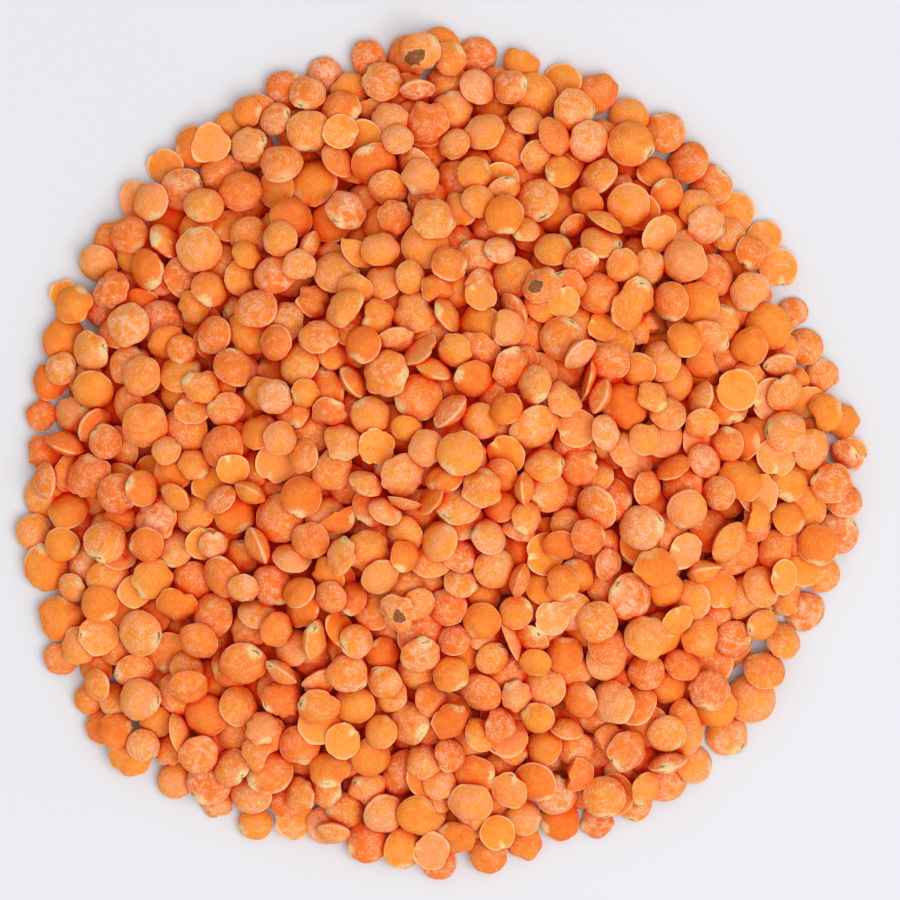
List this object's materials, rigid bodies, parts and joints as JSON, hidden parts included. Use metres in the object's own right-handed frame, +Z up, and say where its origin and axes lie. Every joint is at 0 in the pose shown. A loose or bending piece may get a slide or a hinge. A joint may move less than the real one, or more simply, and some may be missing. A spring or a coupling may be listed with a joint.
{
  "type": "heap of red lentils",
  "caption": "Loose round heap of dry dehusked red lentils, lying on a flat surface with no dish, for a kitchen, market stall or pantry scene.",
  "frame": {"origin": "in the middle of the heap's box, on the flat base that it rests on", "axes": "+Z up, square to the surface that the heap lies on; +Y towards the top of the picture, which looks straight down on the heap"},
  "size_m": [0.092, 0.0922, 0.015],
  "materials": {
    "lentils": "matte, a little dusty"
  },
  "bodies": {
    "root": {"lentil_heap": "lentils"}
  },
  "joints": []
}
